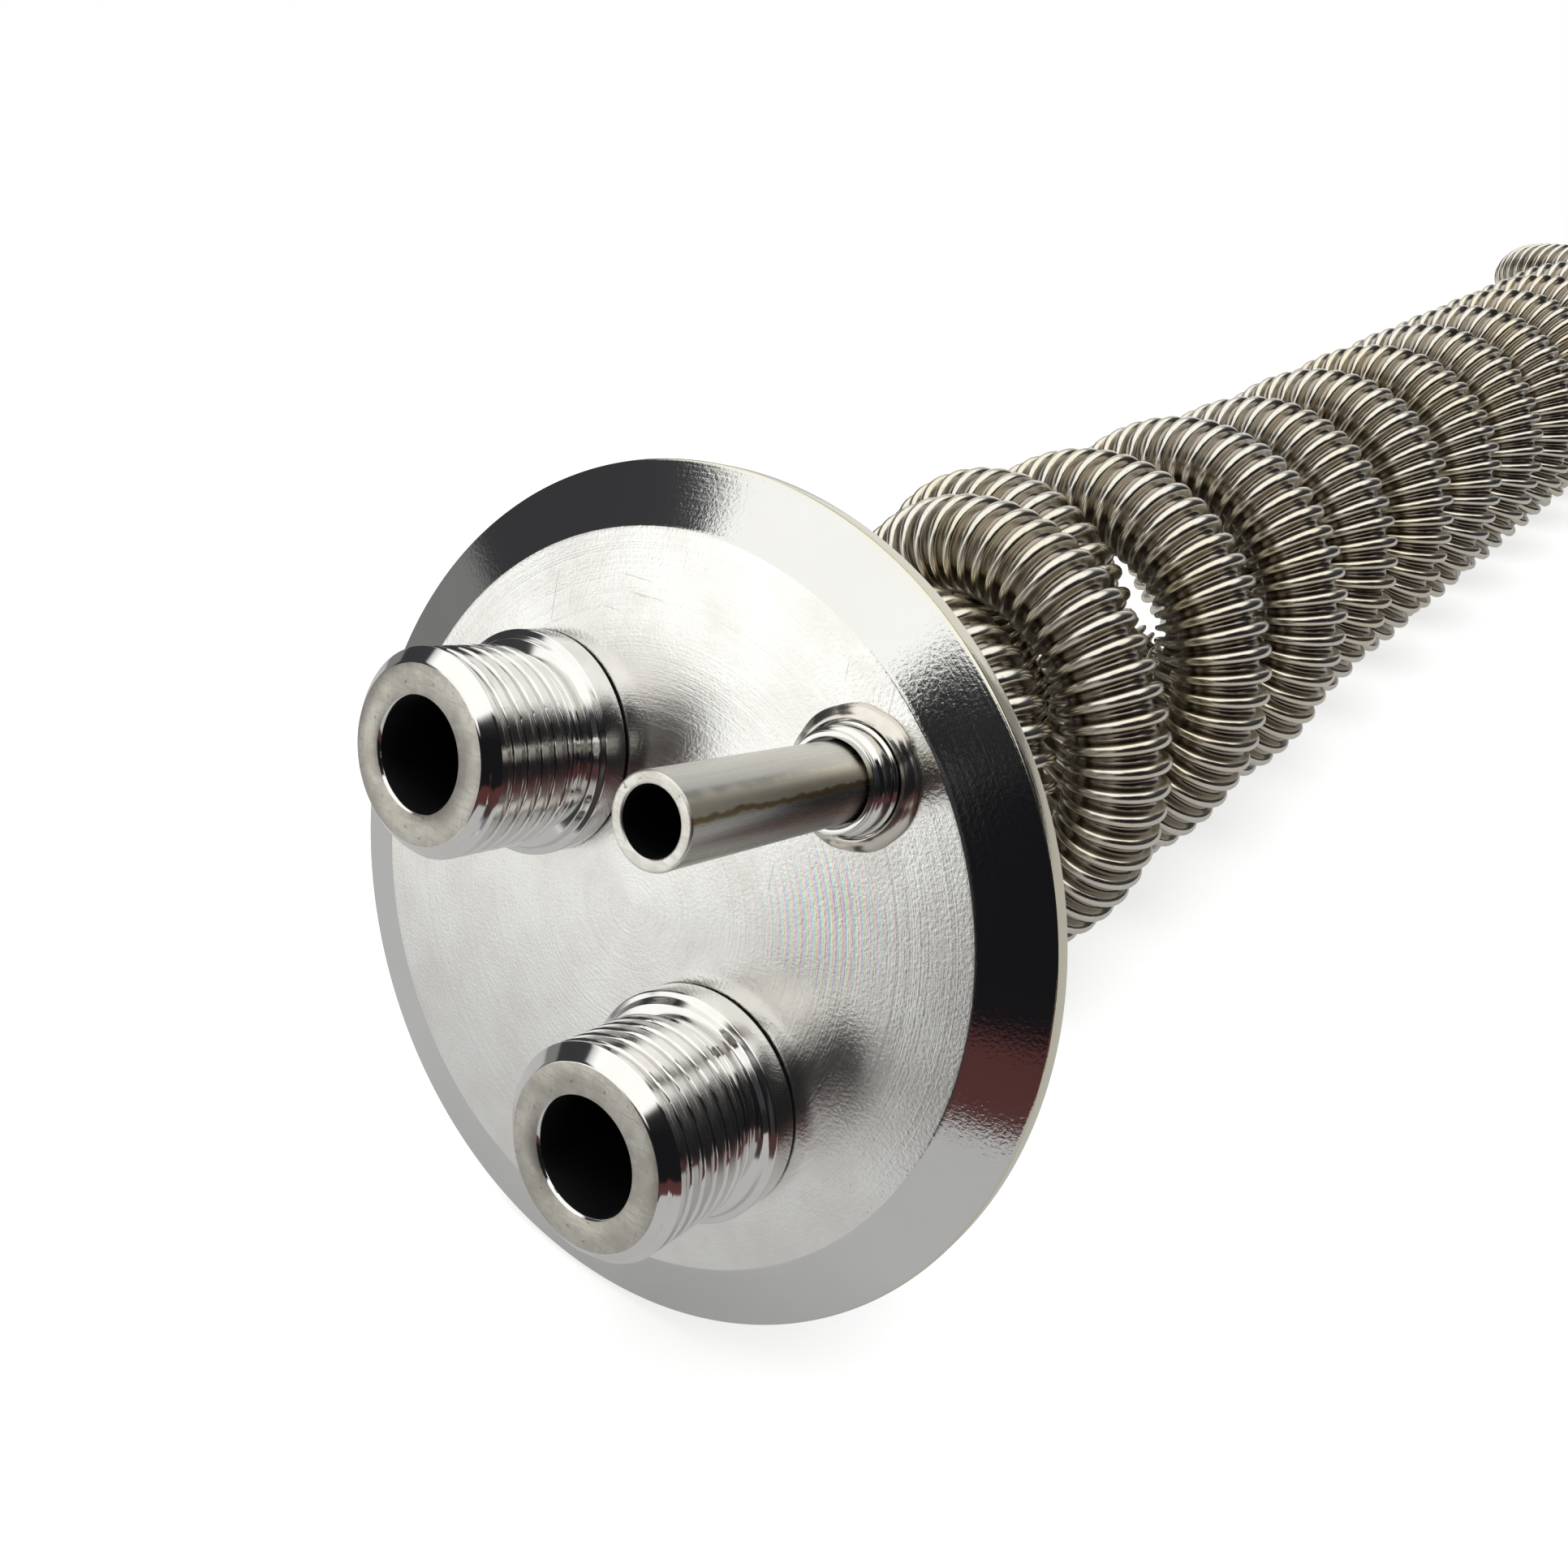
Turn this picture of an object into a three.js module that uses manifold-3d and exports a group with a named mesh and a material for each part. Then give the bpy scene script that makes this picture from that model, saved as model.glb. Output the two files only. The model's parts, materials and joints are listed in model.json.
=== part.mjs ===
// Immersion wort chiller, millimetres, +Z up.
// A round clamp plate carries two threaded water ports and a small stub tube. One length of corrugated
// stainless hose leaves the back of one port, winds into a long coil, turns round at the far end,
// runs back up the middle of the coil, spirals outwards behind the first loops and ends at the other port.
// The origin is the centre of the plate's ported face. The chiller lies on its side: the coil runs along +Y,
// and the plate leans back on its rim, because the coil leaves it at an angle.

import * as THREE from 'three';
import { mergeVertices } from 'three/addons/utils/BufferGeometryUtils.js';
import Module from 'manifold-3d';

const wasm = await Module();
wasm.setup();

// Clearance between pieces that are welded or seated together.
const GAP = 0.3;

// Plate: blank for a 3 inch sanitary clamp ferrule.
const PLATE_RADIUS = 45.5;
const FACE_RADIUS = 38.8;
const BEVEL_DROP = 1.95;
const RIM_WIDTH = 2.45;
const PLATE_THICKNESS = BEVEL_DROP + RIM_WIDTH;
const GROOVE_RADIUS = 41.65;
const GROOVE_HALF_WIDTH = 1.9;
const GROOVE_DEPTH = 1.2;
const PLATE_LEAN = THREE.MathUtils.degToRad(21.3);
const PLATE_YAW = THREE.MathUtils.degToRad(7.0);

// Water ports: G 1/2 male thread, welded through the plate.
const PORT_CIRCLE = 20.7;
const INLET_ANGLE = THREE.MathUtils.degToRad(140.9);
const OUTLET_ANGLE = THREE.MathUtils.degToRad(-52.5);
const BORE_RADIUS = 5.7;
const BORE_BEVEL = 0.5;
const THREAD_MAJOR = 10.48;
const THREAD_MINOR = 9.32;
const THREAD_PITCH = 1.814;
const THREAD_TURNS = 6;
const SHOULDER_RADIUS = 12.0;
const SHOULDER_TOP = 3.2;
const RING_RADIUS = 11.0;
const RING_TOP = 4.2;
const RELIEF_TOP = 5.0;
const NIPPLE_TOP = 17.0;
const NIPPLE_FACE_RADIUS = 9.0;
const NIPPLE_CHAMFER = 0.9;
const SPIGOT_RADIUS = 9.0;
const SPIGOT_END = -14.0;
const SOCKET_RADIUS = 7.45;
const SOCKET_FLOOR = -8.0;

// Stub tube, open at both ends.
const STUB_CIRCLE = 30.7;
const STUB_ANGLE = THREE.MathUtils.degToRad(44.2);
const STUB_RADIUS = 3.75;
const STUB_BORE = 2.7;
const STUB_TOP = 28.4;
const STUB_END = -9.0;
const COLLAR_RADIUS = 5.3;
const COLLAR_LIP_RADIUS = 4.7;
const COLLAR_STEP = 3.3;
const COLLAR_BEVEL = 0.4;
const COLLAR_TOP = 4.4;

// Welds and hose end rings.
const BACK_WELD_WIDTH = 2.2;
const BACK_WELD_HEIGHT = 1.8;
const STUB_WELD_WIDTH = 1.2;
const STUB_WELD_HEIGHT = 1.3;
const HOSE_WELD_LENGTH = 1.4;
const HOSE_WELD_RADIUS = 8.8;
const HOSE_WELD_END_RADIUS = 8.2;
const HOSE_WELD_START_RADIUS = 8.5;
const WELD_BULGE_REACH = 0.62;
const WELD_BULGE_RISE = 0.55;
const WELD_TOP_REACH = 0.3;
const END_RING_LENGTH = 3.6;
const END_RING_RADIUS = 8.3;

// Hose: outer radius over the corrugations, and the inside of the smooth wall that stands for them.
const HOSE_RADIUS = 6.95;
const HOSE_BORE = 6.35;
const HOSE_STEP = 10;
const HOSE_SIDES = 10;
const HOSE_BORE_SIDES = 6;
const LENGTH_DIVISIONS = 3000;

// Coil, in its own frame: y along the coil axis, z up. It sags a little towards its far end.
const COIL_START = new THREE.Vector3(-5.4, 28.3, -8.85);
const COIL_DROOP = THREE.MathUtils.degToRad(1.0);
const COIL_PITCH = 27.7;
const COIL_TOP = 44.0;
const COIL_FIRST = 25.0;
const COIL_TURNS = 11;
const COIL_LAST = COIL_TOP + COIL_TURNS * COIL_PITCH;
const BEND_HANDLE = 60;
const BEND_POINTS = 16;
const LEAD_STRAIGHT = 12;
const LEAD_HANDLE = 20;
const LEAD_POINTS = 8;

// Where each run is pushed towards the plate: by how much, at what distance along the axis, how widely.
const COIL_CROWD = { shift: 1.7, place: 51, width: 9 };
const RETURN_CROWD = { shift: 0.9, place: 62, width: 12 };

// Distance of each hose run from the coil axis, as [distance along the axis, radius] pairs.
const COIL_RADII = [[33, 26.6], [40, 24.2], [47, 25.3], [88, 25], [125, 22.3], [COIL_LAST, 22.3]];
const RETURN_RADII = [
  [30, 16],
  [53.5, 13.5],
  [63, 30],
  [79, 15],
  [91, 20],
  [108, 14],
  [134, 8.5],
  [165, 5],
  [205, 0],
];
const RETURN_FIRST = 23.0;
const RETURN_LAST = 230;
const RETURN_OFFSET = 13.85;
const UNWIND_START = 120;
const UNWIND_END = 175;
const SAMPLE = 1.5;
const ROUND_SIDES = 24;
const PLATE_SIDES = 72;
const GROOVE_SIDES = 4;

const TURNED_STEEL = steel(0xc9c9c6, 0.3);
const POLISHED_STEEL = steel(0xb9b7b2, 0.18);
const WELD_STEEL = steel(0xa9a49b, 0.35);
const STUB_STEEL = steel(0xbdb39b, 0.3);
const HOSE_STEEL = steel(0xaaa294, 0.3);

// ---------------------------------------------------------------- helpers

function steel(color, roughness) {
  return new THREE.MeshStandardMaterial({ color, roughness, metalness: 1.0 });
}

function asMesh(name, geometry, material) {
  const mesh = new THREE.Mesh(geometry, material);
  mesh.name = name;
  return mesh;
}

// Revolves [radius, height] pairs about the z axis.
function turned(profile, segments) {
  const points = profile.map(([radius, height]) => new THREE.Vector2(radius, height));
  const geometry = new THREE.LatheGeometry(points, segments);
  geometry.rotateX(Math.PI / 2);
  return geometry;
}

// Revolves a ring whose [radius, height] pairs run once round its section.
function turnedRing(section, segments) {
  return turned([...section, section[0]], segments);
}

function toSolid(geometry) {
  const bare = geometry.clone();
  bare.deleteAttribute('normal');
  bare.deleteAttribute('uv');
  const merged = mergeVertices(bare, 1e-4);
  const corners = merged.index.array;
  const kept = [];
  for (let i = 0; i < corners.length; i += 3) {
    const [a, b, c] = corners.slice(i, i + 3);
    if (a !== b && b !== c && c !== a) kept.push(a, b, c);
  }
  const vertProperties = new Float32Array(merged.attributes.position.array);
  return new wasm.Manifold(new wasm.Mesh({ numProp: 3, vertProperties, triVerts: new Uint32Array(kept) }));
}

function toGeometry(solid) {
  const mesh = solid.getMesh();
  const geometry = new THREE.BufferGeometry();
  geometry.setAttribute('position', new THREE.BufferAttribute(mesh.vertProperties, 3));
  geometry.setIndex(new THREE.BufferAttribute(mesh.triVerts, 1));
  geometry.computeVertexNormals();
  return geometry;
}

function smoothStep(x, from, to) {
  return THREE.MathUtils.smoothstep(x, from, to);
}

// Smooth curve through [place, value] pairs, level at each pair.
function along(pairs, x) {
  if (x <= pairs[0][0]) return pairs[0][1];
  for (let i = 1; i < pairs.length; i += 1) {
    const [x0, v0] = pairs[i - 1];
    const [x1, v1] = pairs[i];
    if (x <= x1) return v0 + (v1 - v0) * smoothStep(x, x0, x1);
  }
  return pairs[pairs.length - 1][1];
}

function onCircle(radius, angle) {
  return new THREE.Vector3(radius * Math.cos(angle), radius * Math.sin(angle), 0);
}

// ---------------------------------------------------------------- plate

function plate() {
  const back = -PLATE_THICKNESS;
  const arc = [];
  for (let i = 0; i <= GROOVE_SIDES; i += 1) {
    const turn = Math.PI * (i / GROOVE_SIDES);
    const radius = GROOVE_RADIUS - GROOVE_HALF_WIDTH * Math.cos(turn);
    arc.push([radius, back + GROOVE_DEPTH * Math.sin(turn)]);
  }
  const blank = turned([
    [0, back],
    ...arc,
    [PLATE_RADIUS, back],
    [PLATE_RADIUS, -BEVEL_DROP],
    [FACE_RADIUS, 0],
    [0, 0],
  ], PLATE_SIDES);
  let solid = toSolid(blank);
  const holes = [
    [PORT_CIRCLE, INLET_ANGLE, SPIGOT_RADIUS + GAP],
    [PORT_CIRCLE, OUTLET_ANGLE, SPIGOT_RADIUS + GAP],
    [STUB_CIRCLE, STUB_ANGLE, STUB_RADIUS + GAP],
  ];
  for (const [circle, angle, radius] of holes) {
    const drill = new THREE.CylinderGeometry(radius, radius, 4 * PLATE_THICKNESS, ROUND_SIDES);
    drill.rotateX(Math.PI / 2);
    const place = onCircle(circle, angle);
    drill.translate(place.x, place.y, 0);
    solid = solid.subtract(toSolid(drill));
  }
  return asMesh('plate', toGeometry(solid), TURNED_STEEL);
}

// ---------------------------------------------------------------- ports

// Thread ridges, as rings at the real pitch.
function threadSection() {
  const section = [];
  for (let i = 0; i < THREAD_TURNS; i += 1) {
    const root = RELIEF_TOP + i * THREAD_PITCH;
    section.push([THREAD_MINOR, root]);
    section.push([THREAD_MAJOR, root + THREAD_PITCH / 2]);
  }
  return section;
}

function nipple(name) {
  const geometry = turnedRing([
    [SOCKET_RADIUS, SPIGOT_END],
    [SPIGOT_RADIUS, SPIGOT_END],
    [SPIGOT_RADIUS, GAP],
    [SHOULDER_RADIUS, GAP],
    [SHOULDER_RADIUS, SHOULDER_TOP],
    [RING_RADIUS, SHOULDER_TOP],
    [RING_RADIUS, RING_TOP],
    [THREAD_MINOR, RING_TOP],
    ...threadSection(),
    [THREAD_MAJOR, NIPPLE_TOP - NIPPLE_CHAMFER],
    [NIPPLE_FACE_RADIUS, NIPPLE_TOP],
    [BORE_RADIUS + BORE_BEVEL, NIPPLE_TOP],
    [BORE_RADIUS, NIPPLE_TOP - BORE_BEVEL],
    [BORE_RADIUS, SOCKET_FLOOR],
    [SOCKET_RADIUS, SOCKET_FLOOR],
  ], ROUND_SIDES);
  return asMesh(name, geometry, POLISHED_STEEL);
}

// Fillet of weld metal round a tube, standing up from a flat face. Its slope bulges outwards.
function filletWeld(name, inner, width, height) {
  const geometry = turnedRing([
    [inner, 0],
    [inner + width, 0],
    [inner + WELD_BULGE_REACH * width, WELD_BULGE_RISE * height],
    [inner + WELD_TOP_REACH * width, height],
    [inner, height],
  ], ROUND_SIDES);
  return asMesh(name, geometry, WELD_STEEL);
}

function backWeld(name) {
  const weld = filletWeld(name, SPIGOT_RADIUS + GAP, BACK_WELD_WIDTH, BACK_WELD_HEIGHT);
  weld.rotation.x = Math.PI;
  weld.position.z = -PLATE_THICKNESS - GAP;
  return weld;
}

// Weld that joins the hose end to the mouth of the nipple's socket.
function hoseWeld(name) {
  const start = SPIGOT_END - GAP;
  const geometry = turnedRing([
    [SOCKET_RADIUS, start - HOSE_WELD_LENGTH],
    [HOSE_WELD_END_RADIUS, start - HOSE_WELD_LENGTH],
    [HOSE_WELD_RADIUS, start - HOSE_WELD_LENGTH / 2],
    [HOSE_WELD_START_RADIUS, start],
    [SOCKET_RADIUS, start],
  ], ROUND_SIDES);
  return asMesh(name, geometry, WELD_STEEL);
}

// Pressed ring over the last corrugations of the hose.
function endRing(name) {
  const start = SPIGOT_END - 2 * GAP - HOSE_WELD_LENGTH;
  const geometry = turnedRing([
    [SOCKET_RADIUS, start - END_RING_LENGTH],
    [END_RING_RADIUS, start - END_RING_LENGTH],
    [END_RING_RADIUS, start],
    [SOCKET_RADIUS, start],
  ], ROUND_SIDES);
  return asMesh(name, geometry, TURNED_STEEL);
}

function port(side, angle) {
  const group = new THREE.Group();
  group.add(nipple(`${side}_nipple`));
  group.add(backWeld(`${side}_back_weld`));
  group.add(hoseWeld(`${side}_hose_weld`));
  group.add(endRing(`${side}_end_ring`));
  group.position.copy(onCircle(PORT_CIRCLE, angle));
  return group;
}

// ---------------------------------------------------------------- stub tube

function stubTube() {
  const geometry = turnedRing([
    [STUB_BORE, STUB_END],
    [STUB_RADIUS, STUB_END],
    [STUB_RADIUS, STUB_TOP],
    [STUB_BORE, STUB_TOP],
  ], ROUND_SIDES);
  return asMesh('stub_tube', geometry, STUB_STEEL);
}

function stubCollar() {
  const inner = STUB_RADIUS + GAP;
  const geometry = turnedRing([
    [inner, GAP],
    [COLLAR_RADIUS, GAP],
    [COLLAR_RADIUS, COLLAR_STEP],
    [COLLAR_LIP_RADIUS, COLLAR_STEP + COLLAR_BEVEL],
    [COLLAR_LIP_RADIUS, COLLAR_TOP],
    [inner, COLLAR_TOP],
  ], ROUND_SIDES);
  return asMesh('stub_collar', geometry, TURNED_STEEL);
}

function stub() {
  const group = new THREE.Group();
  const faceWeld = filletWeld('stub_face_weld', COLLAR_RADIUS + GAP, STUB_WELD_WIDTH, STUB_WELD_HEIGHT);
  faceWeld.position.z = GAP;
  const backSide = filletWeld('stub_back_weld', STUB_RADIUS + GAP, STUB_WELD_WIDTH, STUB_WELD_HEIGHT);
  backSide.rotation.x = Math.PI;
  backSide.position.z = -PLATE_THICKNESS - GAP;
  group.add(stubTube(), stubCollar(), faceWeld, backSide);
  group.position.copy(onCircle(STUB_CIRCLE, STUB_ANGLE));
  return group;
}

function plateGroup() {
  const group = new THREE.Group();
  group.add(plate(), port('inlet', INLET_ANGLE), port('outlet', OUTLET_ANGLE), stub());
  group.rotation.set(Math.PI / 2 - PLATE_LEAN, 0, PLATE_YAW, 'ZXY');
  group.updateMatrix();
  return group;
}

// ---------------------------------------------------------------- hose

// From the coil's own frame to the part's frame.
function fromCoil(x, y, z) {
  return new THREE.Vector3(x, y, z).applyAxisAngle(new THREE.Vector3(1, 0, 0), -COIL_DROOP).add(COIL_START);
}

// Both runs wind left-handed. The angle is counted from the top, towards +X.
function windingPoint(y, radius, angle, crowd) {
  const push = crowd.shift * Math.exp(-(((y - crowd.place) / crowd.width) ** 2));
  return fromCoil(radius * Math.sin(angle), y - push, radius * Math.cos(angle));
}

function coilRun() {
  const points = [];
  for (let y = COIL_FIRST; y <= COIL_LAST; y += SAMPLE) {
    const angle = -2 * Math.PI * (y - COIL_TOP) / COIL_PITCH;
    points.push(windingPoint(y, along(COIL_RADII, y), angle, COIL_CROWD));
  }
  return points;
}

// The return run lies half a pitch behind the coil's loops, and stops turning once it is inside them.
function returnRun() {
  const points = [];
  let angle = -2 * Math.PI * (RETURN_FIRST - COIL_TOP - RETURN_OFFSET) / COIL_PITCH;
  for (let y = RETURN_FIRST; y <= RETURN_LAST; y += SAMPLE) {
    points.push(windingPoint(y, along(RETURN_RADII, y), angle, RETURN_CROWD));
    angle -= 2 * Math.PI * SAMPLE / COIL_PITCH * (1 - smoothStep(y, UNWIND_START, UNWIND_END));
  }
  return points;
}

function heading(from, to) {
  return to.clone().sub(from).normalize();
}

// Bend between two places, leaving and arriving along the given headings.
function bend(from, leaving, to, arriving, handle, count) {
  const curve = new THREE.CubicBezierCurve3(
    from,
    from.clone().addScaledVector(leaving, handle),
    to.clone().addScaledVector(arriving, -handle),
    to,
  );
  return curve.getSpacedPoints(count).slice(1, -1);
}

// Straight end of the hose, from the socket floor outwards.
function portLead(angle, frame) {
  const start = onCircle(PORT_CIRCLE, angle).setZ(SOCKET_FLOOR - GAP).applyMatrix4(frame);
  const away = new THREE.Vector3(0, 0, -1).transformDirection(frame);
  const end = start.clone().addScaledVector(away, LEAD_STRAIGHT);
  return { start, away, end, middle: start.clone().lerp(end, 0.5) };
}

function hosePath(frame) {
  const inlet = portLead(INLET_ANGLE, frame);
  const outlet = portLead(OUTLET_ANGLE, frame);
  const coil = coilRun();
  const back = returnRun().reverse();
  const axis = heading(fromCoil(0, 0, 0), fromCoil(0, 1, 0));
  const coilEnd = coil[coil.length - 1];
  const turnEnd = fromCoil(0, COIL_LAST, 0);
  const homeward = axis.clone().negate();
  const leave = heading(coil[coil.length - 2], coilEnd);
  const join = heading(back[back.length - 2], back[back.length - 1]);
  return [
    inlet.start, inlet.middle, inlet.end,
    ...bend(inlet.end, inlet.away, coil[0], heading(coil[0], coil[1]), LEAD_HANDLE, LEAD_POINTS),
    ...coil,
    ...bend(coilEnd, leave, turnEnd, homeward, BEND_HANDLE, BEND_POINTS),
    turnEnd,
    turnEnd.clone().lerp(back[0], 0.25),
    turnEnd.clone().lerp(back[0], 0.5),
    turnEnd.clone().lerp(back[0], 0.75),
    ...back,
    ...bend(back[back.length - 1], join, outlet.end, outlet.away.clone().negate(), LEAD_HANDLE, LEAD_POINTS),
    outlet.end, outlet.middle, outlet.start,
  ];
}

function circle(radius, sides) {
  const corners = [];
  for (let i = 0; i < sides; i += 1) {
    const turn = 2 * Math.PI * i / sides;
    corners.push(new THREE.Vector2(radius * Math.cos(turn), radius * Math.sin(turn)));
  }
  return corners;
}

function coilHose(frame) {
  const curve = new THREE.CatmullRomCurve3(hosePath(frame));
  curve.arcLengthDivisions = LENGTH_DIVISIONS;
  const steps = Math.round(curve.getLength() / HOSE_STEP);
  const section = new THREE.Shape(circle(HOSE_RADIUS, HOSE_SIDES));
  section.holes.push(new THREE.Path(circle(HOSE_BORE, HOSE_BORE_SIDES)));
  const geometry = new THREE.ExtrudeGeometry(section, { steps, extrudePath: curve, bevelEnabled: false });
  return asMesh('coil_hose', geometry, HOSE_STEEL);
}

// ---------------------------------------------------------------- assembly

const chiller = new THREE.Group();
const fittings = plateGroup();
chiller.add(fittings, coilHose(fittings.matrix));

export default chiller;
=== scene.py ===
"""Looks of the immersion wort chiller.

A turned clamp plate carries two threaded ports and a stub tube. A corrugated hose coils behind it.
Lengths in the constants are millimetres. Blender's units are metres, so MM converts.
"""
import json
import math

import bpy
import numpy as np
from mathutils import Euler, Matrix, Vector, noise


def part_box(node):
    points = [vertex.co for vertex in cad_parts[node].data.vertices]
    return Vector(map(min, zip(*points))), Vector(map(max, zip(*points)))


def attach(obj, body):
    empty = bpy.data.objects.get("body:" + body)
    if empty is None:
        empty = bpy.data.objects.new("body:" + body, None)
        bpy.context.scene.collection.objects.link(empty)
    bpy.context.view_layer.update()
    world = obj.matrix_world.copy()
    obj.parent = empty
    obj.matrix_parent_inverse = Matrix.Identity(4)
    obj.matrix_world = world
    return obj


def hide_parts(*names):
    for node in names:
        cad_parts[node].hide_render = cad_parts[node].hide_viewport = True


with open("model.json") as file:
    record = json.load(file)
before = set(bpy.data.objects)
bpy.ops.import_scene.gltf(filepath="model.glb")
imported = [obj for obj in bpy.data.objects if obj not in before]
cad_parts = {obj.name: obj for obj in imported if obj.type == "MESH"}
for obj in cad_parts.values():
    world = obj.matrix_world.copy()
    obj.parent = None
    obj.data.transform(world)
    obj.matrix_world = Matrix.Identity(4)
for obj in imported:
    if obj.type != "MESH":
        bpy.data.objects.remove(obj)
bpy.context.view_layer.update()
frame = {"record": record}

MM = 0.001
TOUCH = 0.02
SHARP_ANGLE = 40
RECORD = frame["record"]
MOUNTS = {mount["name"]: mount for mount in RECORD["mounts"]}

# Clamp plate.
PLATE_RADIUS = 45.5
FACE_RADIUS = 38.8
BEVEL_DROP = 1.95
PLATE_THICKNESS = 4.4
PLATE_HUB = 0.4
PLATE_SHARP_ANGLE = 12
PLATE_SIDES = 256
EDGE_ROUND = 0.28
EDGE_STEPS = 5
GROOVE_RADIUS = 41.65
GROOVE_HALF_WIDTH = 1.9
GROOVE_DEPTH = 1.2
GROOVE_STEPS = 12

DRILL_SIDES = 64

# Extra rows of the plate's section. They keep its flats flat in smooth shading.
BEVEL_ROWS = (0.4, 2.0, 4.0, 6.0)
CORNER_ROWS = (0.3, 0.06)
FACE_ROWS = (0.75, 0.5, 0.25)

# Threaded ports.
NIPPLE_TOP = 17.0
NIPPLE_FACE_RADIUS = 9.0
NIPPLE_MOUNT_OFFSET = 7.5
BORE_RADIUS = 5.7
THREAD_MAJOR = 10.48
THREAD_DEPTH = 0.85
THREAD_PITCH = 1.814
THREAD_START = 5.0
THREAD_ROW_STEP = 0.1
THREAD_VALLEY_SHARPNESS = 2.6
THREAD_RUN_IN = 0.8
THREAD_END = NIPPLE_TOP - 0.12
NIPPLE_SIDES = 144
NIPPLE_ROUND = 0.16
CHAMFER_SLOPE = 1.15
SHOULDER_RADIUS = 12.0
SHOULDER_TOP = 3.2
RING_RADIUS = 11.0
RING_TOP = 4.2
SPIGOT_RADIUS = 9.0
SPIGOT_END = -14.0
SOCKET_RADIUS = 7.45
SOCKET_FLOOR = -8.0
GAP = 0.3

# Welds, and the pressed ring on each hose end.
BACK_BEAD_WIDTH = 2.2
BACK_BEAD_HEIGHT = 1.8
HOSE_BEAD_LENGTH = 1.4
HOSE_BEAD_RADII = (8.4, 8.8, 8.5)
END_RING_RADIUS = 8.3
END_RING_LENGTH = 3.6
BEAD_STEPS = 8
BEAD_SIDES = 160

# Stub tube and its collar.
STUB_TOP = 28.4
STUB_END = -9.0
STUB_RADIUS = 3.75
STUB_BORE = 2.7
STUB_MOUNT_OFFSET = 3.2
STUB_EDGE_ROUND = 0.22
LATHE_SIDES = 96
COLLAR_RADIUS = 5.3
COLLAR_NECK_RADIUS = COLLAR_RADIUS - 0.25
COLLAR_LIP_RADIUS = 4.7
COLLAR_TOP = 4.4
FACE_BEAD_LIFT = 0.1
FACE_BEAD_GAP = 0.15
FACE_BEAD_WIDTH = 1.35
FACE_BEAD_HEIGHT = 1.3
STUB_BACK_BEAD_WIDTH = 1.2
STUB_BACK_BEAD_HEIGHT = 1.3

# Hose: annular corrugations. Crest and valley are round, with short straight flanks between them.
HOSE_RADIUS = 6.95
HOSE_DEPTH = 1.75
HOSE_PITCH = 2.75
HOSE_WALL = 0.35
CREST_ROUND = 0.68
VALLEY_ROUND = 0.62
HOSE_START = SOCKET_FLOOR - GAP

# The hose is drawn in stretches, as (name, number of waves, sides, fine rows).
# The run back fills what is left between these and the last waves at the outlet.
NEAR_STRETCHES = (
    ("hose_inlet_loops", 110, 40, True),
    ("hose_second_loops", 110, 40, True),
    ("hose_third_loops", 140, 32, True),
    ("hose_coil_middle", 160, 28, False),
    ("hose_coil_far", 180, 24, False),
)
RETURN_SIDES = 24
OUTLET_WAVES = 110
OUTLET_SIDES = 40

# Path of the hose, in the coil's own frame: y along the coil's axis, z up.
COIL_START = Vector((-5.4, 28.3, -8.85))
COIL_DROOP = math.radians(1.0)
COIL_PITCH = 27.7
COIL_TOP = 44.0
COIL_FIRST = 25.0
COIL_TURNS = 11
COIL_LAST = COIL_TOP + COIL_TURNS * COIL_PITCH
BEND_HANDLE = 60
LEAD_STRAIGHT = 12
LEAD_HANDLE = 20
BEND_POINTS = 400
STRAIGHT_POINTS = 200
RUN_STEP = 0.05
PATH_STEP = 0.25
PATH_SMOOTHING = 12

# Where each run is pushed towards the plate: by how much, at what distance along the axis, how widely.
COIL_CROWD = (1.7, 51, 9)
RETURN_CROWD = (0.9, 62, 12)

# Distance of each run from the coil's axis, as (distance along the axis, radius) pairs.
COIL_RADII = ((33, 26.6), (40, 24.2), (47, 25.3), (88, 25), (125, 22.3), (COIL_LAST, 22.3))
RETURN_RADII = (
    (30, 16), (53.5, 13.5), (63, 30), (79, 15), (91, 20), (108, 14), (134, 8.5), (165, 5), (205, 0),
)
RETURN_FIRST = 23.0
RETURN_LAST = 230
RETURN_OFFSET = 13.85
UNWIND = (120, 175)

# Camera: a phone close to the plate, looking down along the coil.
CAMERA_PLACE = Vector((79.4, -59.5, 79.0))
CAMERA_AZIMUTH = 43.94
CAMERA_ELEVATION = 33.24
CAMERA_ROLL = -0.99
CAMERA_FOCAL = 27.57
SENSOR = 36.0


# ---------------------------------------------------------------- frames on the plate

def plate_matrix():
    """Columns: across the plate, up the plate, out of the ported face; origin at the face's centre."""
    mount = MOUNTS["ported_face"]
    out = Vector(mount["axis"]).normalized()
    across = Vector((0, 0, 1)).cross(out).normalized()
    up = out.cross(across)
    turn = Matrix((across, up, out)).transposed().to_4x4()
    return Matrix.Translation(Vector(mount["pos_m"])) @ turn


PLATE = plate_matrix()


def fitting_matrix(mount_name, offset, height):
    """Frame on the plate's face at the foot of a fitting, from a mount on its end face."""
    place = PLATE.inverted() @ Vector(MOUNTS[mount_name]["pos_m"])
    foot = Vector((place.x - offset * MM, place.y, place.z - height * MM))
    return PLATE @ Matrix.Translation(foot)


INLET = fitting_matrix("inlet_face", NIPPLE_MOUNT_OFFSET, NIPPLE_TOP)
OUTLET = fitting_matrix("outlet_face", NIPPLE_MOUNT_OFFSET, NIPPLE_TOP)
STUB = fitting_matrix("stub_face", STUB_MOUNT_OFFSET, STUB_TOP)


# ---------------------------------------------------------------- mesh helpers

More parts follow.
